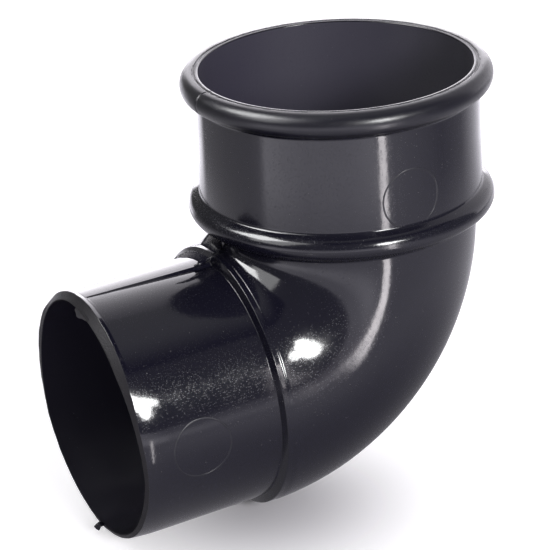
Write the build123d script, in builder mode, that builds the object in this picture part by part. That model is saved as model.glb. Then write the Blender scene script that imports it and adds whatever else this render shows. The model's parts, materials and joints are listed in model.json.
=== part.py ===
"""Offset bend for a round rainwater downpipe, moulded in one piece.

A socket at the top takes the pipe from above, and a smaller spigot at the side enters the pipe below.
+Z runs up the socket's axis and the spigot points towards -X. The origin is the centre of the pipe stop,
the ledge at the bottom of the socket. Lengths are in millimetres and angles in degrees.
"""

import os
from math import cos, radians, tan

from build123d import *

# Bend
bend_angle = 92.5
bend_radius = 36.2
elbow_outer_radius = 34.1
elbow_wall = 1.8
elbow_seam_angle = 145

# Socket
socket_bore_radius = 34.4
socket_wall = 1.5
socket_depth = 38.0
rim_chamfer = 0.4
rim_groove_width = 0.5
rim_groove_depth = 0.25

# Beads round the socket, each a round crest with drafted flanks, centred on the outer wall
top_bead_radius = 3.2
foot_bead_radius = 3.0
foot_bead_height = 3.15
bead_draft = 30

# Spigot, with distances measured along its axis from where the two axes cross
axes_crossing_drop = 36.8
spigot_outer_radius = 32.0
spigot_bore_radius = 30.3
spigot_step = 36.4
spigot_end = 74.2
throat_end = 38.4
step_edge_chamfer = 0.5
shoulder_start = 71.5
lead_in_start = 72.5
lead_in_radius = 31.4
end_outer_radius = 30.8

# Worked out from the driving dimensions
turn = 180 - bend_angle
elbow_bore_radius = elbow_outer_radius - elbow_wall
socket_outer_radius = socket_bore_radius + socket_wall
groove_middle = socket_outer_radius - rim_groove_width / 2
top_bead_height = socket_depth - top_bead_radius
top_bead_root = top_bead_height - top_bead_radius / cos(radians(bead_draft))
foot_bead_half_width = foot_bead_radius / cos(radians(bead_draft))
foot_flank_drop = (socket_outer_radius - elbow_outer_radius) * tan(radians(bead_draft))
tangent_length = bend_radius * tan(radians(turn / 2))
bend_start = tangent_length - axes_crossing_drop
crossing = Vector(0, 0, -axes_crossing_drop)
outward = Vector(0, 0, 1).rotate(Axis.Y, -bend_angle)
seam_direction = Vector(1, 0, 0).rotate(Axis.Z, elbow_seam_angle)
spigot_radial = Vector(0, -1, 0).cross(outward) * -1


def bead_crest(height, radius):
    """The round top of a bead's section, down to where its two flanks leave it."""
    return CenterArc((socket_outer_radius, height), radius, 90 - bead_draft, 2 * bead_draft - 180)


with BuildPart() as bend_body:
    # Socket, its two beads and the pipe stop, turned about the pipe's axis
    with BuildSketch(Plane.XZ) as socket_section:
        with BuildLine():
            inside = Polyline(
                (elbow_outer_radius, bend_start),
                (elbow_bore_radius, bend_start),
                (elbow_bore_radius, 0),
                (socket_bore_radius, 0),
                (socket_bore_radius, socket_depth),
                (socket_outer_radius - rim_groove_width, socket_depth),
                (groove_middle, socket_depth - rim_groove_depth),
                (socket_outer_radius, socket_depth),
            )
            top_crest = bead_crest(top_bead_height, top_bead_radius)
            foot_crest = bead_crest(foot_bead_height, foot_bead_radius)
            Line(inside @ 1, top_crest @ 0)
            Polyline(
                top_crest @ 1,
                (socket_outer_radius, top_bead_root),
                (socket_outer_radius, foot_bead_height + foot_bead_half_width),
                foot_crest @ 0,
            )
            Polyline(
                foot_crest @ 1,
                (elbow_outer_radius, foot_bead_height - foot_bead_half_width - foot_flank_drop),
                inside @ 0,
            )
        make_face()
        mouth_edge = socket_section.vertices().sort_by_distance((socket_bore_radius, socket_depth, 0))[0]
        chamfer(mouth_edge, rim_chamfer)
    revolve(axis=Axis.Z)

    # Elbow, a ring turned about the bend's own axis, with the ring's seam near the inside of the bend
    with BuildSketch(Plane(origin=(0, 0, bend_start), x_dir=seam_direction, z_dir=(0, 0, 1))):
        Circle(elbow_outer_radius)
        Circle(elbow_bore_radius, mode=Mode.SUBTRACT)
    revolve(axis=Axis((-bend_radius, 0, bend_start), (0, 1, 0)), revolution_arc=turn)

    # Spigot, the step where the elbow ends and the lead-in at the spigot's mouth, turned about its axis
    with BuildSketch(Plane(origin=crossing, x_dir=spigot_radial, z_dir=(0, -1, 0))):
        with BuildLine():
            Polyline(
                (elbow_bore_radius, tangent_length),
                (spigot_bore_radius, throat_end),
                (spigot_bore_radius, spigot_end),
                (end_outer_radius, spigot_end),
                (lead_in_radius, lead_in_start),
                (spigot_outer_radius, shoulder_start),
                (spigot_outer_radius, spigot_step),
                (elbow_outer_radius - step_edge_chamfer, spigot_step),
                (elbow_outer_radius, spigot_step - step_edge_chamfer),
                (elbow_outer_radius, tangent_length),
                close=True,
            )
        make_face()
    revolve(axis=Axis(crossing, outward))

bend_body.part.label = "bend_body"

os.makedirs("parts", exist_ok=True)
export_step(bend_body.part, "parts/bend_body.step")
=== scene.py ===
"""Dresses the packed downpipe offset bend for its picture.

The plain solid gives way to a moulded skin with rounded edges, a parting line and a trimmed mouth. Flash, two
round moulding marks and a gloss black plastic go on it, and it stands on a pale floor in soft light. Lengths
are in metres in the part's own frame: +Z runs up the socket, and the spigot points towards -X.
"""

import json
from math import atan2, cos, hypot, pi, radians, sin, tan

import bpy
import numpy as np
from mathutils import Matrix, Vector


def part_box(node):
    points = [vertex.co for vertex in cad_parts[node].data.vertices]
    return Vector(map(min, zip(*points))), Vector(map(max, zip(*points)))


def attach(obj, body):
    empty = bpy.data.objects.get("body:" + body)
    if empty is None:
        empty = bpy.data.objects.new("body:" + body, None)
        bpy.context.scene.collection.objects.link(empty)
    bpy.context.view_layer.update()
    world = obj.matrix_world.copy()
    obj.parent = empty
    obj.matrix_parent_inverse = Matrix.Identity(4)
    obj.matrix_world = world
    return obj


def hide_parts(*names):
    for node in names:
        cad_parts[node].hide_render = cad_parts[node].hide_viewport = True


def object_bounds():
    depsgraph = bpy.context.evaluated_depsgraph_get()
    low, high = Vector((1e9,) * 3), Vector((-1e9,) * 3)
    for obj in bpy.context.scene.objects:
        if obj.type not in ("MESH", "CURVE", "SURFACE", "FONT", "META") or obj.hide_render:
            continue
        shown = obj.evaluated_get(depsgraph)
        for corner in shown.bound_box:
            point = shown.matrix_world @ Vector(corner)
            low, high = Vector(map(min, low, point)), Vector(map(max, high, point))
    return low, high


bl_info = {
    "name": "Downpipe offset bend",
    "version": (1, 0, 0),
    "blender": (4, 5, 0),
    "location": "3D View > Sidebar > Downpipe bend",
    "description": "Moulded skin, flash, gloss black plastic and a plain studio for a downpipe offset bend",
    "category": "Object",
}

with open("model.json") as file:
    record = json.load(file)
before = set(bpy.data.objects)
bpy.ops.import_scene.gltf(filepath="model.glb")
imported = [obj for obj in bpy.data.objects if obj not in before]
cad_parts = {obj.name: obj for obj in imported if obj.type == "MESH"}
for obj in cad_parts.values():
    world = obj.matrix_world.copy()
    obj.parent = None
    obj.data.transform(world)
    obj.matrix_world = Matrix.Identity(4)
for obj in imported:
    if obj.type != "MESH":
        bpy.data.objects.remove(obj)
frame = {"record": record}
cad_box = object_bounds()

BODY = "root"
NODE = "bend_body"

# What the frame gives: the two ends' mounts, and the drop from the stop ledge to where the two axes cross
mounts = {m["name"]: m for m in frame["record"]["mounts"]}
MM = 0.001
SOCKET_BORE = mounts["socket"]["dims"]["r_mm"] * MM
SPIGOT_RADIUS = mounts["spigot"]["dims"]["r_mm"] * MM
SPIGOT_AXIS = np.array(mounts["spigot"]["axis"], float)
SPIGOT_POINT = np.array(mounts["spigot"]["pos_m"], float)
TURN = atan2(-SPIGOT_AXIS[0], -SPIGOT_AXIS[2])
CROSSING_DROP = SPIGOT_POINT[0] / SPIGOT_AXIS[0] * SPIGOT_AXIS[2] - SPIGOT_POINT[2]
SOCKET_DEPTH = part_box(NODE)[1].z
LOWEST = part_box(NODE)[0].z


def length(name, description, millimetres):
    """A length property whose default is given in millimetres."""
    return bpy.props.FloatProperty(
        name=name, description=description, default=millimetres * MM, unit="LENGTH", precision=5
    )


def share(name, description, default):
    """A property for a share from 0 to 1."""
    return bpy.props.FloatProperty(
        name=name, description=description, default=default, min=0, max=1, subtype="FACTOR", precision=3
    )


def angular(name, description, degrees):
    """An angle property whose default is given in degrees."""
    return bpy.props.FloatProperty(
        name=name, description=description, default=radians(degrees), subtype="ANGLE"
    )


def colour(name, description, default):
    """A colour property in scene-linear values."""
    return bpy.props.FloatVectorProperty(
        name=name, description=description, default=default, size=3, min=0, max=1, subtype="COLOR"
    )


class BendSizes(bpy.types.PropertyGroup):
    """Sizes of the moulded wall."""

    bend_radius: length("Bend radius", "Radius of the centre line in the elbow", 36.2)
    elbow_radius: length("Elbow radius", "Outer radius of the elbow's tube", 34.1)
    elbow_wall: length("Elbow wall", "Thickness of the elbow's wall", 1.8)
    socket_wall: length("Socket wall", "Thickness of the socket's wall", 1.5)
    bead_radius: length("Top bead radius", "Radius of the bead's round crest at the rim", 3.2)
    foot_radius: length("Foot bead radius", "Radius of the crest of the bead at the stop ledge", 3.0)
    foot_height: length("Foot bead height", "Height of the foot bead over the stop ledge", 3.15)
    spigot_wall: length("Spigot wall", "Thickness of the spigot's wall", 1.7)
    step: length("Step", "Distance along the spigot from where the axes cross to the step", 36.4)
    spigot_end: length("Spigot end", "Distance along the spigot from where the axes cross to its mouth", 74.2)
    ridge_height: length("Ridge height", "How far the parting line stands out", 0.015)
    ridge_width: length("Ridge width", "Width of the parting line", 0.45)
    crack_depth: length("Crack depth", "Depth of the parting line's crack over the top bead", 0.30)
    ledge_depth: length("Ledge depth", "How far the spigot's near half stands back at the step", 0.75)


class MouldMarks(bpy.types.PropertyGroup):
    """Sizes and places of the marks that the mould leaves."""

    ring_radius: length("Ring radius", "Radius of the round moulding marks", 7.65)
    ring_width: length("Ring width", "Width of the line round a mark", 0.50)
    ring_height: length("Ring height", "How far a mark's line stands out", 0.12)
    socket_ring: length("Socket mark", "Height of the socket's mark over the stop ledge", 13.4)
    spigot_ring: length("Spigot mark", "Distance of the spigot's mark from where the axes cross", 58.2)
    flash_thickness: length("Flash thickness", "Thickness of the flakes of flash at their roots", 0.55)


class PlasticFinish(bpy.types.PropertyGroup):
    """Colours and gloss of the black plastic."""

    body: colour("Plastic", "Colour of the plastic", (0.0060, 0.0056, 0.0115))
    # Painted light: the bore's colour is lighter than the plastic to stand in for light inside the socket and
    # the waterway
    bore: colour("Bore", "Colour of the walls that the mould's core formed", (0.031, 0.028, 0.046))
    dust: colour("Dust", "Colour of the dust specks", (0.16, 0.155, 0.16))
    trimmed: colour("Trimmed face", "Colour of the cut plastic at the spigot's mouth", (0.018, 0.017, 0.020))
    roughness: share("Roughness", "Roughness of the moulded surface", 0.09)
    bead_roughness: share("Bead roughness", "Roughness of the beads, which rub against things", 0.29)
    core_roughness: share("Bore roughness", "Roughness of the walls that the mould's core formed", 0.58)
    trimmed_roughness: share("Trimmed roughness", "Roughness of the cut plastic", 0.30)
    grit: share("Grit", "How rough the fine grit in the surface is", 0.32)
    dustiness: share("Dust", "How much of the surface holds specks of dust", 0.32)
    scratches: share("Scratches", "How strongly the fine scratches show", 0.05)


class StudioSetup(bpy.types.PropertyGroup):
    """The floor, the lights and the camera."""

    floor_colour: colour("Floor", "Colour of the floor", (0.72, 0.70, 0.74))
    camera_azimuth: angular("Camera azimuth", "Turn of the camera about +Z, from the -Y side", -26.71)
    camera_elevation: angular("Camera elevation", "Height of the camera as an angle", 23.24)
    camera_roll: angular("Camera roll", "Turn of the camera about its view", -3.2)
    camera_distance: length("Camera distance", "Distance from the camera to the aim point's plane", 677.4)
    camera_right: length("Camera right", "How far the camera stands right of the aim point", -18.9)
    camera_up: length("Camera up", "How far the camera stands over the aim point", 15.9)
    lens: bpy.props.FloatProperty(
        name="Lens",
        description="Focal length on a 36 mm sensor, in millimetres",
        default=170.24,
        unit="CAMERA",
    )


def link(obj):
    """Puts an object into the scene and returns it."""
    bpy.context.scene.collection.objects.link(obj)
    return obj


def surface(name, points, material, close_rows=False, close_columns=False, marks=None, second=None):
    """A mesh from a grid of points, rows by columns.

    Its faces look the way of the cross product of the rows' way and the columns' way.
    Corner (i, j) joins (i+1, j), (i+1, j+1) and (i, j+1). A closed direction wraps round to its start.
    marks gives named numbers per point, kept as attributes for the material. second is a mask of points and
    the material of the faces whose four corners it holds.
    """
    rows, columns = points.shape[:2]
    i = np.arange(rows if close_rows else rows - 1)[:, None]
    j = np.arange(columns if close_columns else columns - 1)[None, :]
    i2, j2 = (i + 1) % rows, (j + 1) % columns
    corners = [i * columns + j, i2 * columns + j, i2 * columns + j2, i * columns + j2]
    quads = np.stack(corners, -1).reshape(-1, 4)
    mesh = bpy.data.meshes.new(name)
    mesh.vertices.add(rows * columns)
    mesh.vertices.foreach_set("co", points.astype(np.float32).ravel())
    mesh.loops.add(quads.size)
    mesh.loops.foreach_set("vertex_index", quads.astype(np.int32).ravel())
    mesh.polygons.add(len(quads))
    mesh.polygons.foreach_set("loop_start", np.arange(0, quads.size, 4, dtype=np.int32))
    mesh.polygons.foreach_set("use_smooth", np.ones(len(quads), bool))
    for mark, values in (marks or {}).items():
        layer = mesh.attributes.new(mark, "FLOAT", "POINT")
        layer.data.foreach_set("value", values.astype(np.float32).ravel())
    mesh.materials.append(material)
    if second:
        mask, other = second
        mesh.materials.append(other)
        mesh.polygons.foreach_set("material_index", mask.ravel()[quads].all(1).astype(np.int32))
    mesh.update(calc_edges=True)
    mesh.validate()
    return link(bpy.data.objects.new(name, mesh))


def rounded(corners, close_gap=0.00012, step=radians(11)):
    """A closed outline from corners (along, radius, rounding), with each corner replaced by its tangent arc.

    The arc starts rounding * tan(turn / 2) before the corner and turns about the point that far inside it. A
    point stands close_gap outside each arc, so that the flat beyond it shades flat.
    """
    at = np.array([c[:2] for c in corners])
    out = []
    for k, (_, _, rounding) in enumerate(corners):
        before = at[k] - at[k - 1]
        after = at[(k + 1) % len(at)] - at[k]
        room = min(hypot(*before), hypot(*after))
        before, after = before / hypot(*before), after / hypot(*after)
        turn = atan2(before[0] * after[1] - before[1] * after[0], before @ after)
        reach = min(abs(rounding * tan(turn / 2)), 0.98 * room)
        arc_radius = reach / abs(tan(turn / 2))
        side = np.array([-before[1], before[0]]) * np.sign(turn)
        centre = at[k] - before * reach + side * arc_radius
        count = max(int(abs(turn) / step), int(arc_radius * abs(turn) / (0.45 * MM)), 2)
        a = np.linspace(0, turn, count + 1)[:, None]
        spoke = -side * arc_radius
        arc = centre + np.cos(a) * spoke + np.sin(a) * np.array([-spoke[1], spoke[0]])
        out.append(np.vstack([arc[0] - before * close_gap, arc, arc[-1] + after * close_gap]))
    return out


def filled(arcs, longest, fine, fine_from):
    """Joins an outline's arcs by straight stretches, in pieces no longer than longest.

    Beyond the distance fine_from the pieces are no longer than fine.
    """
    points = np.vstack(arcs)
    for piece in (longest, fine):
        after = np.roll(points, -1, 0)
        run = np.hypot(*(after - points).T)
        wanted = (piece == longest) | (np.minimum(points[:, 0], after[:, 0]) > fine_from)
        pieces = np.where(wanted, np.ceil(run / piece), 1).astype(int).clip(1)
        which = np.repeat(np.arange(len(points)), pieces)
        part = (np.arange(len(which)) - np.repeat(np.cumsum(pieces) - pieces, pieces)) / pieces[which]
        points = points[which] + part[:, None] * (after - points)[which]
    return points


class Path:
    """The bend's centre line: down the socket's axis, round the elbow's arc and out along the spigot's axis.

    along is the distance from the socket's mouth. At each point the wall stands off the line by
    radius * (cos(round) * inward + sin(round) * Y), where inward starts as +X and turns with the elbow.
    """

    def __init__(self, sizes):
        self.bend = sizes.bend_radius
        self.tangent = self.bend * tan(TURN / 2)
        self.start = SOCKET_DEPTH + CROSSING_DROP - self.tangent
        self.end = self.start + self.bend * TURN

    def along_spigot(self, distance):
        """The distance along the line of a place given from where the two axes cross."""
        return self.end + distance - self.tangent

    def wall(self, along, radius, around):
        """Points of the wall from arrays of distance along, radius off the line and angle around it."""
        angle = np.clip((along - self.start) / self.bend, 0, TURN)
        straight = np.clip(along - self.end, 0, None)
        drop = np.minimum(along, self.start)
        x = self.bend * (np.cos(angle) - 1) - straight * sin(TURN)
        z = SOCKET_DEPTH - drop - self.bend * np.sin(angle) - straight * cos(TURN)
        out = radius * np.cos(around)
        return np.stack([x + out * np.cos(angle), radius * np.sin(around), z - out * np.sin(angle)], -1)


def wall_corners(sizes, path):
    """The wall's section as corners (along, radius, rounding), down its outside and back up its inside."""
    flank = radians(30)
    bore, outside = SOCKET_BORE, SOCKET_BORE + sizes.socket_wall
    bead, foot = sizes.bead_radius, sizes.foot_radius
    bead_reach = bead * tan(radians(75))
    bead_root = bead + bead / cos(flank)
    foot_along = SOCKET_DEPTH - sizes.foot_height
    foot_half = foot / cos(flank)
    elbow, throat = sizes.elbow_radius, sizes.elbow_radius - sizes.elbow_wall
    foot_end = foot_along + foot_half + (outside - elbow) * tan(flank)
    elbow_end = elbow - 0.13 * MM
    spigot, waterway = SPIGOT_RADIUS, SPIGOT_RADIUS - sizes.spigot_wall
    step = path.along_spigot(sizes.step)
    end = path.along_spigot(sizes.spigot_end)
    return [
        # Rim, with the groove between the bore's edge and the bead
        (0.10 * MM, bore, 0.30 * MM),
        (0, bore + 0.62 * MM, 0.5 * MM),
        (0, outside - 0.62 * MM, 0.14 * MM),
        (0.25 * MM, outside - 0.35 * MM, 0.14 * MM),
        (0, outside - 0.08 * MM, 0.12 * MM),
        # Beads
        (0, outside + bead_reach, bead),
        (bead_root, outside, 0.7 * MM),
        (foot_along - foot_half, outside, 0.8 * MM),
        (foot_along, outside + foot / sin(flank), foot),
        (foot_end, elbow, 0.8 * MM),
        # Elbow's end, a little narrower before the step, and the spigot
        (step - 2.7 * MM, elbow, 3 * MM),
        (step - 1.8 * MM, elbow_end, 3 * MM),
        (step - 0.35 * MM, elbow_end, 0.22 * MM),
        (step + 0.50 * MM, spigot, 0.20 * MM),
        (end - CUT * MM, spigot, 0.12 * MM),
        (end, waterway + 0.25 * MM, 0.12 * MM),
        # Inside, from the spigot's mouth back to the socket
        (end, waterway, 0.08 * MM),
        (step + 2.0 * MM, waterway, 2.0 * MM),
        (path.end, throat, 2.0 * MM),
        (SOCKET_DEPTH, throat, 0.4 * MM),
        (SOCKET_DEPTH, bore, 0.3 * MM),
    ]


def angles_around(sizes, count):
    """Angles round the wall: even steps, with a close set over each of the two parting lines at 0 and pi."""
    across = np.linspace(-0.55, 0.55, 7) * MM / sizes.elbow_radius
    crotch = np.concatenate([np.linspace(-1.5, 1.5, 31), [1.75, 2.1, 2.6]]) * MM / SPIGOT_RADIUS
    gap = 0.01
    even = np.arange(count) * 2 * pi / count
    clear = (even > across[-1] + gap) & (even < 2 * pi + across[0] - gap)
    clear &= (even < pi + crotch[0] - gap) | (even > pi + crotch[-1] + gap)
    return np.sort(np.concatenate([even[clear], across % (2 * pi), pi + crotch]))


def bell(value, middle, spread):
    """A bell that is 1 at its middle and falls to 1/e at a spread from it."""
    return np.exp(-(((value - middle) / spread) ** 2))


# The spigot's mouth in millimetres back from its end: how long the cut is, and where the wall starts to turn
CUT = 1.5
FLARE = 8.0

# Round the mouth, from an angle in degrees that is 0 on top and grows towards -Y: how far the wall turns up
# before the cut, and how far the cut's outer and inner edges lie past the end
LIP = {-180: -0.3, -100: 0, -45: 0.15, -30: 0.32, 42: 0.3, 48: 0.2, 67: -0.65, 85: -0.75, 180: -0.3}
BURR = {-180: -0.5, -110: -0.4, -52: -1.0, -40: -2.1, -10: -2.4, 35: -1.7, 68: -0.8, 100: -1.3, 180: -0.5}
RIM = {-180: 0, -110: 0, -70: -0.8, -15: -0.9, 14: 0, 45: 0.5, 75: 0, 100: -0.6, 130: -0.1, 180: 0}

# How close a point of the wall has to come to a face to count as on it
CLOSE = 0.02 * MM


def core_side(sizes, path, along, radius):
    """A mask of the wall's inside: points nearer the centre line than a limit that changes along the bend."""
    stretches = (
        (SOCKET_DEPTH + 0.1 * MM, SOCKET_BORE + 0.45 * MM),
        (path.along_spigot(sizes.step) - 0.5 * MM, sizes.elbow_radius - 1.0 * MM),
        (path.along_spigot(sizes.spigot_end) - FLARE * MM, SPIGOT_RADIUS - 0.2 * MM),
    )
    near_mouth = SPIGOT_RADIUS - sizes.spigot_wall + 0.08 * MM
    before = [along < reach for reach, _ in stretches]
    return radius < np.select(before, [limit for _, limit in stretches], near_mouth)


def with_parting_line(sizes, path, along, radius, side, inside):
    """The outside with its parting line, a low bell across the two lines where the mould's halves met.

    Over the bead at the rim the line is a crack on the spigot's side: points sink towards the bead's middle.
    """
    flare_start = path.along_spigot(sizes.spigot_end) - FLARE * MM
    ridge = bell(np.sin(side) * radius, 0, 0.42 * sizes.ridge_width) * ~inside * (along < flare_start)
    wander = 0.75 + 0.25 * np.sin(along / (2.3 * MM)) * np.sin(along / (5.9 * MM))
    down = along - sizes.bead_radius
    outwards = np.clip(radius - (SOCKET_BORE + sizes.socket_wall), 0, None)
    crack = (along < 2 * sizes.bead_radius) & (np.cos(side) < 0)
    carved = ridge * crack * sizes.crack_depth * wander / np.hypot(down, outwards)
    raised = ridge * ~crack * sizes.ridge_height * wander
    return along - carved * down, radius - carved * outwards + raised


def with_ledge(sizes, path, along, radius, side, across, inside):
    """The spigot's top with its ledge: the near half of the mould stood back, more and more towards the step.

    The wall falls over a short width across the parting line, and comes back slowly round the near side.
    """
    step = path.along_spigot(sizes.step)
    ledge_end = path.along_spigot(sizes.spigot_end) - 3.2 * MM
    regain_length = 4.5 * MM
    depth = np.clip((ledge_end - along) / (ledge_end - step), 0, 1)
    width = (0.28 + 0.65 * depth) * MM
    past = -across - (0.3 - 1.2 * (1 - depth) ** 1.5) * MM
    fall = np.clip(past / width, 0, 1)
    regain = np.exp(-np.clip(past - width, 0, None) / regain_length)
    on_top = ~inside & (along > step) & (np.cos(side) < 0) & (depth > 0)
    return radius - on_top * sizes.ledge_depth * (0.25 + 0.75 * depth) * fall * regain


def with_trimmed_mouth(sizes, path, along, radius, side):
    """The mouth as it was trimmed by hand: the wall turns up or in before the cut, which runs in and out.

    Both grow with the share of the way from where the flare starts to the cut. Where the wall turns up it
    does so only close to the cut, after a slight dip, and where it turns in it follows that share's square.
    """
    end = path.along_spigot(sizes.spigot_end)
    angle = np.degrees(side) - 180
    lip, burr, rim = (np.interp(angle, *zip(*line.items())) * MM for line in (LIP, BURR, RIM))
    ragged = np.sin(7 * side + 0.8) + 0.6 * np.sin(17 * side) + 0.5 * np.sin(41 * side + 2.0)
    burr = burr + 0.05 * MM * ragged
    outer = radius > SPIGOT_RADIUS - sizes.spigot_wall + CLOSE
    to_cut = np.clip((along - end + FLARE * MM) / ((FLARE - CUT) * MM), 0, 1)
    over_cut = np.clip((along - end + CUT * MM) / (CUT * MM), 0, 1)
    turned_up = np.clip((to_cut - 0.83) / 0.17, 0, 1) - 0.15 * bell(to_cut, 0.81, 0.03)
    shape = np.where(lip > 0, turned_up, to_cut**2)
    shift = to_cut * (1 - over_cut) * (burr + CUT * MM) + over_cut * rim
    return along + np.where(outer, shift, to_cut * rim), radius + outer * (1 - over_cut) * shape * lip


def build_skin(sizes, material, trimmed):
    """The whole wall as one closed surface: its section's outline, turned about the bend's centre line."""
    path = Path(sizes)
    end = path.along_spigot(sizes.spigot_end)
    fine_from = end - (FLARE + 1.7) * MM
    outline = filled(rounded(wall_corners(sizes, path)), 1.9 * MM, 0.27 * MM, fine_from)[::-1]
    around = angles_around(sizes, 236)
    along = np.repeat(outline[:, :1], len(around), 1)
    radius = np.repeat(outline[:, 1:], len(around), 1)
    side = around[None, :]

    # What the material has to know of each point: how dull the core left it, which also lightens its colour
    # as painted light, and if it is cut or on a bead
    inside = core_side(sizes, path, along, radius)
    core = inside * np.where(along < SOCKET_DEPTH + 0.1 * MM, 1.0, 0.45) * (along > 0.3 * MM)
    cut = (along > end - (CUT - 0.1) * MM) & (radius > SPIGOT_RADIUS - sizes.spigot_wall + CLOSE)
    bulging = (along < SOCKET_DEPTH + 1 * MM) & (radius > SOCKET_BORE + sizes.socket_wall + 0.6 * MM)
    on_bead = ~inside & (bulging | (along < 0.4 * MM))

    across = np.sin(side) * radius
    along, radius = with_parting_line(sizes, path, along, radius, side, inside)
    radius = with_ledge(sizes, path, along, radius, side, across, inside)
    along, radius = with_trimmed_mouth(sizes, path, along, radius, side)

    crest = on_bead * np.where(along < SOCKET_DEPTH / 2, 1.0, 0.25)
    marks = {"cut_face": cut.astype(float), "core_side": core, "bead_crest": crest}
    points = path.wall(along, radius, np.repeat(side, len(outline), 0))
    points = np.clip(points, np.array(cad_box[0]), np.array(cad_box[1]))
    second = (cut, trimmed)
    return surface("moulded_skin", points, material, True, True, marks, second)


def build_ring(name, sizes, marks, centre, radius, material):
    """A round moulding mark: a low half-round line, bent round the wall, on the side that faces -Y.

    At turn t its centre line stands ring_radius * cos(t) along and ring_radius * sin(t) / wall radius around.
    Its section is a low arch that sinks into the wall at both edges, and its height varies round the ring.
    """
    path = Path(sizes)
    t = np.linspace(0, 2 * pi, 160, endpoint=False)[:, None]
    v = np.linspace(-1, 1, 7)[None, :]
    reach = marks.ring_radius + v * marks.ring_width / 2
    along = centre + reach * np.cos(t)
    around = -pi / 2 + reach * np.sin(t) / radius
    fade = 0.62 + 0.38 * np.sin(t * 2 + 0.7) * np.sin(t * 5 + 1.9)
    lift = marks.ring_height * (1.25 * (1 - v**2) - 0.25) * fade
    points = path.wall(along, radius + lift, around)
    return surface(name, points[:, ::-1], material, close_rows=True)


def bumpy(seed, count, low, high):
    """A smooth uneven run of numbers between low and high: a few sines with fixed phases from a seed."""
    random = np.random.default_rng(seed)
    t = np.linspace(0, 2 * pi, count)
    waves = (1, 2, 3, 5, 8)
    run = sum(np.sin(t * k * random.uniform(0.7, 1.3) + random.uniform(0, 2 * pi)) / k for k in waves)
    run = (run - run.min()) / (run.max() - run.min())
    return low + (high - low) * run


# Points along each line of the flash
LINE_POINTS = 25


def parting_line(places, count=LINE_POINTS, smooth=True):
    """A line in the parting plane through a few (x, z) places in millimetres, curved or in straight pieces.

    The curve is the one polynomial that passes through all the places, over the share of the way along them.
    """
    at = np.array(places, float)
    run = np.hypot(*np.diff(at, axis=0).T)
    share_along = np.concatenate([[0], np.cumsum(run)]) / run.sum()
    fine = np.linspace(0, 1, count)
    if smooth:
        x, z = (np.polyval(np.polyfit(share_along, column, len(at) - 1), fine) for column in at.T)
    else:
        x, z = (np.interp(fine, share_along, column) for column in at.T)
    return np.stack([x, 0 * x, z], -1) * MM


def closed(name, loops, material, torn=False):
    """A closed piece from rings of points, shut to a point at both ends, with faces outwards.

    A torn piece is marked as cut plastic for its material. The sign of the volume between the surface and the
    origin tells which way round the rings must run.
    """
    first = np.repeat(loops[:1].mean(1, keepdims=True), loops.shape[1], 1)
    last = np.repeat(loops[-1:].mean(1, keepdims=True), loops.shape[1], 1)
    points = np.concatenate([first, loops, last], 0)
    a, b = points[:-1], points[1:]
    c = np.roll(b, -1, 1)
    d = np.roll(a, -1, 1)
    volume = np.einsum("ijk,ijk->", a, np.cross(b, c)) + np.einsum("ijk,ijk->", a, np.cross(c, d))
    marks = {"cut_face": np.full(points.shape[:2], float(torn))}
    if volume <= 0:
        points = points[:, ::-1]
    return surface(name, points, material, close_columns=True, marks=marks)


def flake(name, root, edge, normal, thickness, material, torn=False):
    """A thin flake of flash between a root line and a free edge, thinner towards the edge and rounded there.

    At share v from root to edge the two faces stand off the middle sheet by thickness / 2 * (1 - 0.65 v),
    along the one normal given.
    """
    v = np.linspace(0, 1, 7)[None, :, None]
    sheet = root[:, None] + v * (edge - root)[:, None]
    half = thickness / 2 * (1 - 0.65 * v) * np.array(normal)
    return closed(name, np.concatenate([sheet + half, (sheet - half)[:, ::-1]], 1), material, torn)


def flat_flake(name, root, edge, thickness, material):
    """A flake in the parting plane, between two lines in straight pieces through (x, z) millimetre places."""
    root, edge = (parting_line(places, smooth=False) for places in (root, edge))
    return flake(name, root, edge, (0.0, 1.0, 0.0), thickness, material)


def tube(name, line, radii, material, sides=12):
    """A round thread of plastic along a line of points, with its own radius at each, closed at both ends."""
    tangent = np.gradient(line, axis=0)
    tangent /= np.linalg.norm(tangent, axis=1, keepdims=True)
    across = np.cross(tangent, [0.0, 1.0, 0.0])
    across /= np.linalg.norm(across, axis=1, keepdims=True)
    other = np.cross(tangent, across)
    a = np.linspace(0, 2 * pi, sides, endpoint=False)[None, :, None]
    ring = np.cos(a) * across[:, None] + np.sin(a) * other[:, None]
    return closed(name, line[:, None] + radii[:, None, None] * ring, material)


def dress(piece, replace=False):
    """Ties a piece to the part's body, and lets the skin stand for the plain solid."""
    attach(piece, BODY)
    if replace:
        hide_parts(NODE)
    return piece


def group_tree(name, outputs, **inputs):
    """A new shader node group on a place and named numbers, with the sockets at its two ends."""
    tree = bpy.data.node_groups.new(name, "ShaderNodeTree")
    tree.interface.new_socket("Vector", in_out="INPUT", socket_type="NodeSocketVector")
    for label, value in inputs.items():
        socket = tree.interface.new_socket(label, in_out="INPUT", socket_type="NodeSocketFloat")
        socket.default_value = value
    for label in outputs:
        tree.interface.new_socket(label, in_out="OUTPUT", socket_type="NodeSocketFloat")
    return tree, tree.nodes.new("NodeGroupInput").outputs, tree.nodes.new("NodeGroupOutput").inputs


def add(tree, kind, inputs=None, **settings):
    """A node of a kind, with its plain settings made and its numbered or named inputs filled or linked."""
    node = tree.nodes.new(kind)
    for key, value in settings.items():
        setattr(node, key, value)
    for key, value in (inputs or {}).items():
        if isinstance(value, bpy.types.NodeSocket):
            tree.links.new(value, node.inputs[key])
        else:
            node.inputs[key].default_value = value
    return node


def maths(tree, operation, a, b=0.0, third=0.0):
    """The result of a Math node on up to three numbers or sockets."""
    return add(tree, "ShaderNodeMath", {0: a, 1: b, 2: third}, operation=operation).outputs[0]


def times(tree, a, b):
    """The product of two numbers or sockets."""
    return maths(tree, "MULTIPLY", a, b)


def plus(tree, a, b):
    """The sum of two numbers or sockets."""
    return maths(tree, "ADD", a, b)


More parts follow.
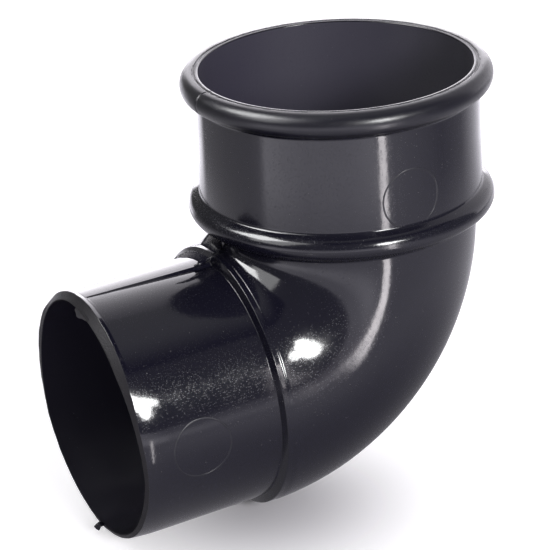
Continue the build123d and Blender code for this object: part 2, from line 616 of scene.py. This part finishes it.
def ramp(tree, value, low, high):
    """A smooth step of a socket's value from 0 at low to 1 at high."""
    inputs = {0: value, 1: low, 2: high}
    return add(tree, "ShaderNodeMapRange", inputs, interpolation_type="SMOOTHSTEP").outputs[0]


def noise(tree, vector, scale, detail):
    """A noise from 0 to 1."""
    inputs = {"Vector": vector, "Scale": scale, "Detail": detail}
    return add(tree, "ShaderNodeTexNoise", inputs).outputs["Fac"]


def attribute(tree, name):
    """A mark that surface keeps on the mesh."""
    return add(tree, "ShaderNodeAttribute", attribute_name=name).outputs["Fac"]


def mixed(tree, share_of_second, first, second):
    """A colour between two, each a colour or a socket."""
    first, second = ((*c, 1) if isinstance(c, tuple) else c for c in (first, second))
    inputs = {0: share_of_second, 6: first, 7: second}
    return add(tree, "ShaderNodeMix", inputs, data_type="RGBA").outputs[2]


def dust_group():
    """Specks of dust: round spots in scattered cells, thinned out by a broad cloud."""
    tree, given, result = group_tree("dust_specks", ["Speck"], Size=0.00011, Spacing=1700.0, Amount=0.3)
    place, spacing = given["Vector"], given["Spacing"]
    cells = add(tree, "ShaderNodeTexVoronoi", {"Vector": place, "Scale": spacing})
    distance = maths(tree, "DIVIDE", cells.outputs["Distance"], spacing)
    chance = add(tree, "ShaderNodeSeparateColor", {0: cells.outputs["Color"]})
    spot = maths(tree, "LESS_THAN", distance, times(tree, chance.outputs[0], given["Size"]))
    kept = plus(tree, times(tree, noise(tree, place, 55.0, 3.0), 1.2), -0.35)
    kept = times(tree, kept, given["Amount"])
    chosen = maths(tree, "LESS_THAN", chance.outputs[1], kept)
    tree.links.new(times(tree, spot, chosen), result["Speck"])
    return tree


def grit_group():
    """Grit moulded into the surface: round dull specks in some of many small cells, denser in patches."""
    tree, given, result = group_tree("moulded_grit", ["Grain"], Spacing=4300.0)
    place = given["Vector"]
    cells = add(tree, "ShaderNodeTexVoronoi", {"Vector": place, "Scale": given["Spacing"]})
    chance = add(tree, "ShaderNodeSeparateColor", {0: cells.outputs["Color"]})
    pimple = maths(tree, "SUBTRACT", 1.0, ramp(tree, cells.outputs["Distance"], 0.25, 0.60))
    kept = times(tree, ramp(tree, noise(tree, place, 60.0, 3.0), 0.15, 0.70), 0.38)
    chosen = maths(tree, "LESS_THAN", chance.outputs[1], kept)
    strength = plus(tree, times(tree, chance.outputs[2], 0.8), 0.2)
    grain = times(tree, times(tree, pimple, chosen), strength)
    tree.links.new(grain, result["Grain"])
    return tree


def scratch_group():
    """Fine scratches: the level lines of a noise stretched into long streaks, shown only in patches."""
    tree, given, result = group_tree("fine_scratches", ["Scratch"], Turn=0.6, Amount=0.3)
    place = given["Vector"]
    turn = {0: place, 3: given["Turn"]}
    turned = add(tree, "ShaderNodeVectorRotate", turn, rotation_type="Y_AXIS").outputs[0]
    streak = (1100.0, 60.0, 14.0)
    stretched = add(tree, "ShaderNodeVectorMath", {0: turned, 1: streak}, operation="MULTIPLY").outputs[0]
    near = maths(tree, "ABSOLUTE", maths(tree, "SUBTRACT", noise(tree, stretched, 1.0, 0.0), 0.62))
    line = maths(tree, "SUBTRACT", 1.0, ramp(tree, near, 0.0, 0.02))
    patch = ramp(tree, noise(tree, place, 120.0, 2.0), 0.58, 0.70)
    shown = times(tree, times(tree, line, patch), given["Amount"])
    tree.links.new(shown, result["Scratch"])
    return tree


def ripple_group():
    """The moulded surface's waviness: a broad slow swell, a finer orange peel and a smear of uneven gloss."""
    tree, given, result = group_tree("moulded_ripple", ["Height", "Gloss"], Swell=0.6, Peel=0.25)
    place = given["Vector"]
    broad = times(tree, noise(tree, place, 85.0, 1.5), given["Swell"])
    fine = times(tree, noise(tree, place, 900.0, 2.0), given["Peel"])
    tree.links.new(plus(tree, broad, fine), result["Height"])
    smear = ramp(tree, noise(tree, place, 140.0, 4.0), 0.35, 0.75)
    tree.links.new(smear, result["Gloss"])
    return tree


def total(tree, start, *parts):
    """A start value plus each mask times its weight."""
    for mask, weight in parts:
        start = plus(tree, start, times(tree, mask, weight))
    return start


def effect(tree, name, build, **inputs):
    """A node in a material that places the shader group of that name, which is built on first use."""
    group = bpy.data.node_groups.get(name) or build()
    return add(tree, "ShaderNodeGroup", inputs, node_tree=group)


def new_material(name):
    """A material with one Principled shader, its tree and that shader."""
    material = bpy.data.materials.get(name) or bpy.data.materials.new(name)
    material.use_nodes = True
    return material, material.node_tree, material.node_tree.nodes["Principled BSDF"]


# How high the plastic's fine relief stands, in metres at a full mask
RIPPLE_HEIGHT = 0.00004
GRIT_HEIGHT = 0.000002
DUST_HEIGHT = 0.00003
SCRATCH_DEPTH = 0.000012
TORN_HEIGHT = 0.00012

# How much each adds to the roughness at a full mask, and how much of the plastic's colour a dust speck hides
SMEAR_DULLNESS = 0.05
SCRATCH_DULLNESS = 0.25
DUST_DULLNESS = 0.45
DUST_COVER = 0.55


def plastic_material(finish, name="gloss_black_plastic", rough=0.0, reflecting=0.5):
    """Gloss black moulded plastic with dust, grit, fine scratches and uneven gloss, and a bore whose lighter
    colour is painted light.

    Where cut_face marks it, it looks cut. rough is added to the roughness of the moulded surface, and
    reflecting is the shader's specular level.
    """
    material, tree, shader = new_material(name)
    if len(tree.nodes) > 2:
        return material
    place = add(tree, "ShaderNodeTexCoord").outputs["Object"]
    ripple = effect(tree, "moulded_ripple", ripple_group, Vector=place).outputs
    dust = effect(tree, "dust_specks", dust_group, Vector=place, Amount=finish.dustiness).outputs[0]
    scratch = effect(tree, "fine_scratches", scratch_group, Vector=place, Amount=finish.scratches).outputs[0]
    grit = effect(tree, "moulded_grit", grit_group, Vector=place).outputs[0]
    cut, core, crest = (attribute(tree, mark) for mark in ("cut_face", "core_side", "bead_crest"))

    # Painted light: by the core mask the walls take the bore's lighter colour, which stands in for light
    # inside the socket and the waterway
    walls = mixed(tree, core, tuple(finish.body), tuple(finish.bore))
    plain = mixed(tree, cut, walls, tuple(finish.trimmed))
    dusty = mixed(tree, times(tree, dust, DUST_COVER), plain, tuple(finish.dust))
    tree.links.new(dusty, shader.inputs["Base Color"])

    gloss = total(
        tree,
        finish.roughness + rough,
        (ripple["Gloss"], SMEAR_DULLNESS),
        (grit, finish.grit),
        (scratch, SCRATCH_DULLNESS),
        (dust, DUST_DULLNESS),
        (cut, finish.trimmed_roughness),
        (core, finish.core_roughness - finish.roughness),
        (crest, finish.bead_roughness - finish.roughness),
    )
    tree.links.new(maths(tree, "MINIMUM", gloss, 1.0), shader.inputs["Roughness"])
    shader.inputs["IOR"].default_value = 1.5
    shader.inputs["Specular IOR Level"].default_value = reflecting

    torn = times(tree, cut, noise(tree, place, 2200.0, 3.0))
    height = total(
        tree,
        0.0,
        (ripple["Height"], RIPPLE_HEIGHT),
        (grit, GRIT_HEIGHT),
        (dust, DUST_HEIGHT),
        (scratch, -SCRATCH_DEPTH),
        (torn, TORN_HEIGHT),
    )
    bump = add(tree, "ShaderNodeBump", {"Height": height, "Distance": 1.0, "Strength": 1.0})
    tree.links.new(bump.outputs[0], shader.inputs["Normal"])
    return material


def seen_by(tree, ray):
    """1 for the Light Path's named kind of ray, else 0."""
    return add(tree, "ShaderNodeLightPath").outputs[ray]


# How bright the table's far part looks in reflections, by azimuth in degrees about the socket's axis
TABLE_GLOW = {
    -180: 3.0,
    -168: 2.7,
    -160: 0.40,
    -100: 0.75,
    -91: 0.95,
    -86: 2.4,
    -55: 1.75,
    -25: 1.75,
    -4: 2.1,
    12: 1.15,
    55: 0.42,
    80: 0.50,
    120: 1.9,
    180: 3.0,
}
BRIGHTEST = 3.0

# The table's glow close to the part, and how much it rises by with distance
NEAR_GLOW = 0.27
NEAR_GAIN = 0.57

# Distances on the table from the socket's axis in metres, where each change starts and ends
NEAR_RISE = (0.03, 0.15)
NEAR_TO_FAR = (0.19, 0.275)
FAR_DIMMING = (0.32, 0.50)

# The part's shadow on the table, partly painted: round its middle the light that only the camera sees fades
# out, a painted shadow over the real one. Its middle, where its fading starts and ends, and the light that
# brings the table outside it to paper white
PAINTED_SHADOW_MIDDLE = (-0.0300, -0.0125, 0.0)
PAINTED_SHADOW_EDGE = (0.004, 0.054)
PAPER_LIGHT = 0.55


def glow_by_azimuth(tree, place):
    """The table's glow as a share of the brightest, from a colour ramp over the azimuth about the +Z axis."""
    turned = add(tree, "ShaderNodeVectorRotate", {0: place, 3: pi / 2}, rotation_type="Z_AXIS").outputs[0]
    azimuths = add(tree, "ShaderNodeTexGradient", {0: turned}, gradient_type="RADIAL").outputs["Fac"]
    glow = add(tree, "ShaderNodeValToRGB", {0: azimuths})
    stops = glow.color_ramp.elements
    for k, (azimuth, brightness) in enumerate(TABLE_GLOW.items()):
        stop = stops.new(azimuth / 360 + 0.5) if k else stops[0]
        level = brightness / BRIGHTEST
        stop.color = (level, level, level, 1)
    stops.remove(stops[-1])
    return glow.outputs["Color"]


def floor_material(setup):
    """A pale table, paper white to the camera except in the part's shadow, with its own glow in reflections.
    Round the shadow's middle the paper-white light fades out, which paints a shadow over the real one.

    Close to the part the glow rises with distance. Further out it follows the azimuth about the socket's
    axis, from the -Y side towards +X, and it dims again in the distance.
    """
    material, tree, shader = new_material("studio_floor")
    shader.inputs["Base Color"].default_value = (*setup.floor_colour, 1)
    shader.inputs["Roughness"].default_value = 0.6
    place = add(tree, "ShaderNodeTexCoord").outputs["Object"]
    flat = add(tree, "ShaderNodeVectorMath", {0: place, 1: (1.0, 1.0, 0.0)}, operation="MULTIPLY").outputs[0]
    reach = add(tree, "ShaderNodeVectorMath", {0: flat}, operation="LENGTH").outputs["Value"]
    near = plus(tree, times(tree, ramp(tree, reach, *NEAR_RISE), NEAR_GAIN), NEAR_GLOW)
    dim = maths(tree, "SUBTRACT", BRIGHTEST, ramp(tree, reach, *FAR_DIMMING))
    far = times(tree, glow_by_azimuth(tree, place), dim)
    blend = add(tree, "ShaderNodeMix", {0: ramp(tree, reach, *NEAR_TO_FAR), 2: near, 3: far}).outputs[0]
    glow = add(tree, "ShaderNodeEmission", {"Color": (1.0, 0.975, 1.06, 1), "Strength": blend}).outputs[0]

    # Painted shadow: the light that only the camera sees grows from nothing at the shadow's middle, so the
    # table stays darker there
    inputs = {0: flat, 1: PAINTED_SHADOW_MIDDLE}
    away = add(tree, "ShaderNodeVectorMath", inputs, operation="DISTANCE").outputs["Value"]
    lift = times(tree, ramp(tree, away, *PAINTED_SHADOW_EDGE), seen_by(tree, "Is Camera Ray"))
    lift = add(tree, "ShaderNodeEmission", {"Strength": times(tree, lift, PAPER_LIGHT)}).outputs[0]
    seen = add(tree, "ShaderNodeAddShader", {0: shader.outputs[0], 1: lift}).outputs[0]
    choice = add(tree, "ShaderNodeMixShader", {0: seen_by(tree, "Is Glossy Ray"), 1: seen, 2: glow})
    tree.links.new(choice.outputs[0], tree.nodes["Material Output"].inputs["Surface"])
    return material


# Where the lamps and panels aim, and the corners of a square card in order round it
MIDDLE = Vector((-0.015, 0, -0.02))
SQUARE = ((-1, -1), (1, -1), (1, 1), (-1, 1))


def facing_middle(azimuth, elevation, distance):
    """A place by its azimuth from -Y towards +X, elevation and distance, and the turn to face the middle."""
    a, e = radians(azimuth), radians(elevation)
    place = MIDDLE + Vector((sin(a) * cos(e), -cos(a) * cos(e), sin(e))) * distance
    return place, (place - MIDDLE).to_track_quat("Z", "Y")


def softbox(name, azimuth, elevation, distance, width, height, radiance):
    """An oval lamp aimed at the part's middle, with its power worked out from the brightness of its face."""
    data = bpy.data.lights.new(name, "AREA")
    data.shape = "ELLIPSE"
    data.size, data.size_y = width, height
    data.energy = radiance * pi * width * height * pi / 4
    lamp = link(bpy.data.objects.new(name, data))
    lamp.location, turn = facing_middle(azimuth, elevation, distance)
    lamp.rotation_euler = turn.to_euler()


def card(name, corners, material):
    """A flat card with its corners given in order round its edge."""
    mesh = bpy.data.meshes.new(name)
    mesh.from_pydata(corners, [], [tuple(range(len(corners)))])
    mesh.materials.append(material)
    return link(bpy.data.objects.new(name, mesh))


def reflected_only(piece):
    """Keeps a card of the stage in reflections alone."""
    piece.visible_camera = False
    piece.visible_diffuse = False
    piece.visible_shadow = False
    piece.visible_transmission = False


def glow_material(name, tint=(1.0, 1.0, 1.0)):
    """A material that only shines, its tree and the socket of its strength."""
    material = bpy.data.materials.new(name)
    material.use_nodes = True
    tree = material.node_tree
    tree.nodes.clear()
    glow = add(tree, "ShaderNodeEmission", {"Color": (*tint, 1)})
    output = add(tree, "ShaderNodeOutputMaterial")
    tree.links.new(glow.outputs[0], output.inputs["Surface"])
    return material, tree, glow.inputs["Strength"]


def screen(name, azimuths, distance, height, brightness, fade, level):
    """A curved screen that stands on the floor between two azimuths, at a distance from the socket's axis.

    It shines with brightness * exp(-height / fade) + level.
    """
    a = np.radians(np.linspace(*azimuths, 25))[:, None]
    z = np.linspace(LOWEST, height, 13)[None, :]
    points = np.stack([distance * np.sin(a) + 0 * z, -distance * np.cos(a) + 0 * z, 0 * a + z], -1)
    material, tree, strength = glow_material(name, (0.97, 0.94, 1.0))
    place = add(tree, "ShaderNodeTexCoord").outputs["Object"]
    up = add(tree, "ShaderNodeSeparateXYZ", {0: place}).outputs["Z"]
    dimming = maths(tree, "EXPONENT", times(tree, up, -1 / fade))
    tree.links.new(maths(tree, "MULTIPLY_ADD", dimming, brightness, third=level), strength)
    reflected_only(surface(name, points, material))


def panel(name, azimuth, elevation, distance, width, height, brightness):
    """A flat bright panel that faces the part's middle, and shows in first reflections alone."""
    place, turn = facing_middle(azimuth, elevation, distance)
    turn = turn.to_matrix()
    x, y = width / 2, height / 2
    corners = [place + turn @ Vector((u * x, v * y, 0)) for u, v in SQUARE]
    material, tree, strength = glow_material(name)
    depth = add(tree, "ShaderNodeLightPath").outputs["Ray Depth"]
    first = maths(tree, "LESS_THAN", depth, 1.5)
    tree.links.new(times(tree, first, brightness), strength)
    reflected_only(card(name, corners, material))


def ceiling(name, centre, reach, brightness):
    """A level card overhead that shines at its centre and fades smoothly to nothing at a reach from it."""
    x, y, z = centre
    corners = [(x + u * reach, y + v * reach, z) for u, v in SQUARE]
    material, tree, strength = glow_material(name)
    place = add(tree, "ShaderNodeTexCoord").outputs["Object"]
    away = add(tree, "ShaderNodeVectorMath", {0: place, 1: centre}, operation="DISTANCE").outputs["Value"]
    left = maths(tree, "SUBTRACT", 1.0, ramp(tree, away, 0.25 * reach, reach))
    tree.links.new(times(tree, left, brightness), strength)
    reflected_only(card(name, corners, material))


def strip(name, distance, corners, brightness):
    """A flat upright bright card at a distance along Y, given by its corners' x and z, all in millimetres."""
    material, _, strength = glow_material(name, (1.0, 0.95, 0.98))
    strength.default_value = brightness
    reflected_only(card(name, [(x * MM, distance * MM, z * MM) for x, z in corners], material))


def build_lights():
    """The lamps, and the panels, screens and strips that only the gloss shows."""
    softbox("key_softbox", 4.0, 22, 2.5, 0.50, 0.92, 42)
    softbox("key_side_softbox", 12.5, 24, 2.5, 0.36, 0.34, 32)
    panel("left_panel", -116, 50, 2.5, 1.2, 1.1, 18)
    panel("left_back_panel", -88, 42, 2.6, 1.35, 1.9, 4.0)
    screen("rear_screen", (132, 172), 1.2, 3.2, 4.7, 0.90, 0.35)
    ceiling("ceiling", (0.6, 0.3, 2.4), 2.0, 0.5)
    screen("right_screen", (84, 131), 1.2, 3.2, 1.4, 0.90, 0.30)
    strip("upper_strip", -105, ((-4.5, 10), (-4.0, -24), (5.0, -24), (4.5, 10)), 13)
    lower = ((-0.6, -31), (-0.4, -37.5), (11.6, -53), (10, -46), (9, -40), (7.8, -31))
    strip("lower_strip", -105, lower, 15.5)
    strip("mouth_strip", -60, ((-69.6, -38), (-68.0, -38), (-68.4, -54), (-69.2, -54)), 9)


def build_world(scene):
    """A white world: full strength to the camera, most of it as light, and little of it in reflections."""
    as_light, to_camera, in_reflections = 0.6, 0.4, -0.42
    world = bpy.data.worlds.new("studio")
    scene.world = world
    world.use_nodes = True
    tree = world.node_tree
    back = tree.nodes["Background"]
    back.inputs["Color"].default_value = (1, 1, 1, 1)
    seen = times(tree, seen_by(tree, "Is Camera Ray"), to_camera)
    reflected = times(tree, seen_by(tree, "Is Glossy Ray"), in_reflections)
    strength = plus(tree, plus(tree, seen, reflected), as_light)
    tree.links.new(strength, back.inputs["Strength"])


def build_camera(scene, setup):
    """The camera, placed from the point where the two axes cross by its angles, distance and two shifts."""
    aim = Vector((0, 0, -CROSSING_DROP))
    a, e, r = setup.camera_azimuth, setup.camera_elevation, setup.camera_roll
    backward = Vector((sin(a) * cos(e), -cos(a) * cos(e), sin(e)))
    level = Vector((cos(a), sin(a), 0))
    upward = backward.cross(level)
    right = cos(r) * level + sin(r) * upward
    up = cos(r) * upward - sin(r) * level
    place = aim + backward * setup.camera_distance + right * setup.camera_right + up * setup.camera_up
    data = bpy.data.cameras.new("camera")
    data.lens = setup.lens
    data.sensor_width = 36
    camera = link(bpy.data.objects.new("camera", data))
    axes = Matrix((right, up, backward)).transposed().to_4x4()
    camera.matrix_world = Matrix.Translation(place) @ axes
    scene.camera = camera


class BEND_OT_skin(bpy.types.Operator):
    """Builds the moulded skin in place of the plain solid"""

    bl_idname = "bend.skin"
    bl_label = "Moulded skin"

    def execute(self, context):
        scene = context.scene
        material = plastic_material(scene.plastic_finish)
        trimmed = plastic_material(scene.plastic_finish, "trimmed_plastic", reflecting=0.1)
        dress(build_skin(scene.bend_sizes, material, trimmed), replace=True)
        return {"FINISHED"}


class BEND_OT_rings(bpy.types.Operator):
    """Builds the two round moulding marks on the near side"""

    bl_idname = "bend.rings"
    bl_label = "Round moulding marks"

    def execute(self, context):
        scene = context.scene
        sizes, marks = scene.bend_sizes, scene.mould_marks
        path = Path(sizes)
        material = plastic_material(scene.plastic_finish, "mark_plastic", rough=0.30)
        places = {
            "socket_moulding_ring": (SOCKET_DEPTH - marks.socket_ring, SOCKET_BORE + sizes.socket_wall),
            "spigot_moulding_ring": (path.along_spigot(marks.spigot_ring), SPIGOT_RADIUS),
        }
        for name, (centre, radius) in places.items():
            dress(build_ring(name, sizes, marks, centre, radius, material))
        return {"FINISHED"}


class BEND_OT_flash(bpy.types.Operator):
    """Builds the ragged flash: a web, a horn and waste in the crotch, and a tab and a stub at the mouth"""

    bl_idname = "bend.flash"
    bl_label = "Flash"

    def execute(self, context):
        scene = context.scene
        sizes, thickness = scene.bend_sizes, scene.mould_marks.flash_thickness
        path = Path(sizes)
        material = plastic_material(scene.plastic_finish, "flash_plastic", rough=0.12)

        # Web under the foot bead, with one sharp corner
        root = [(-34.6, 1.6), (-34.6, -4.9)]
        edge = [(-37.2, 1.5), (-38.3, 0.9), (-40.4, -1.2), (-37.1, -3.95), (-35.6, -5.0)]
        dress(flat_flake("crotch_web", root, edge, thickness, material))

        # Horn over the step, which curls over and down towards the mouth
        tip = [(-47.8, -3.2)]
        root = [(-39.6, -6.4), (-41.7, -5.3), (-42.7, -4.55), (-44.4, -3.75), (-46.2, -3.3)]
        edge = [(-38.2, -5.3), (-39.9, -4.1), (-41.5, -2.9), (-43.6, -2.2), (-45.3, -2.25), (-46.8, -2.75)]
        dress(flat_flake("crotch_horn", root + tip, edge + tip, thickness, material))

        # Knobbly waste where the horn leaves the step
        places = [(-42.4, -6.5), (-41.0, -6.1), (-39.4, -5.8), (-37.2, -4.9), (-35.8, -4.3)]
        count = 40
        line = parting_line(places, count)
        line[:, 1] += bumpy(5, count, -0.5, 0.3) * MM
        dress(tube("crotch_waste", line, bumpy(8, count, 0.15, 0.75) * MM, material))

        # Ragged tab, which hangs into the mouth from the top of its rim and leans towards the far side
        share_along = np.linspace(0, 1, LINE_POINTS)
        stations = (0, 0.15, 0.25, 0.5, 0.75, 1)
        turn = np.radians(np.interp(share_along, stations, (-6, -4, -3.3, 3, 9.5, 15)))
        reach = np.interp(share_along, stations, (28.8, 28.3, 27.5, 28.0, 29.2, 30.1)) * MM
        reach = reach + bumpy(11, LINE_POINTS, -0.25, 0.15) * MM
        along = path.along_spigot(sizes.spigot_end - np.interp(share_along, (0, 1), (1.2, 0.3)) * MM)
        root_turn = np.radians(np.linspace(1, 14, LINE_POINTS))
        root = path.wall(along, SPIGOT_RADIUS - 1.0 * MM, pi + root_turn)
        edge = path.wall(along, reach, pi + turn)
        torn = plastic_material(scene.plastic_finish, "torn_plastic", rough=0.12, reflecting=0.1)
        dress(flake("mouth_tab", root, edge, SPIGOT_AXIS, thickness, torn, torn=True))

        # Stub at the bottom of the mouth: a bent sliver that widens to a blunt, slanting end
        root = [(-72.3, -70.7), (-73.6, -70.7), (-74.3, -71.7), (-74.96, -71.1)]
        edge = [(-72.6, -70.1), (-73.9, -69.4), (-74.95, -69.93), (-75.43, -70.42)]
        dress(flat_flake("mouth_stub", root, edge, 1.6 * thickness, material))
        return {"FINISHED"}


class BEND_OT_stage(bpy.types.Operator):
    """Sets up the floor, the lights, the world and the camera"""

    bl_idname = "bend.stage"
    bl_label = "Studio"

    def execute(self, context):
        scene = context.scene
        setup = scene.studio_setup
        half = 6.0
        corners = [(half * u, half * v, LOWEST) for u, v in SQUARE]
        card("floor", corners, floor_material(setup))
        build_lights()
        build_world(scene)
        scene.view_settings.view_transform = "Standard"
        build_camera(scene, setup)
        return {"FINISHED"}


class BEND_PT_panel(bpy.types.Panel):
    """Lists the steps that dress the bend"""

    bl_idname = "BEND_PT_panel"
    bl_label = "Downpipe bend"
    bl_space_type = "VIEW_3D"
    bl_region_type = "UI"
    bl_category = "Downpipe bend"

    def draw(self, context):
        for operator in OPERATORS:
            self.layout.operator(operator.bl_idname)


GROUPS = {
    "bend_sizes": BendSizes,
    "mould_marks": MouldMarks,
    "plastic_finish": PlasticFinish,
    "studio_setup": StudioSetup,
}
OPERATORS = (BEND_OT_skin, BEND_OT_rings, BEND_OT_flash, BEND_OT_stage)
CLASSES = (*GROUPS.values(), *OPERATORS, BEND_PT_panel)


def register():
    for cls in CLASSES:
        bpy.utils.register_class(cls)
    for name, group in GROUPS.items():
        setattr(bpy.types.Scene, name, bpy.props.PointerProperty(type=group))


def unregister():
    for name in GROUPS:
        delattr(bpy.types.Scene, name)
    for cls in reversed(CLASSES):
        bpy.utils.unregister_class(cls)


def main():
    """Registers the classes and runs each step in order."""
    register()
    bpy.ops.bend.skin()
    bpy.ops.bend.rings()
    bpy.ops.bend.flash()
    bpy.ops.bend.stage()


if __name__ == "__main__":
    main()
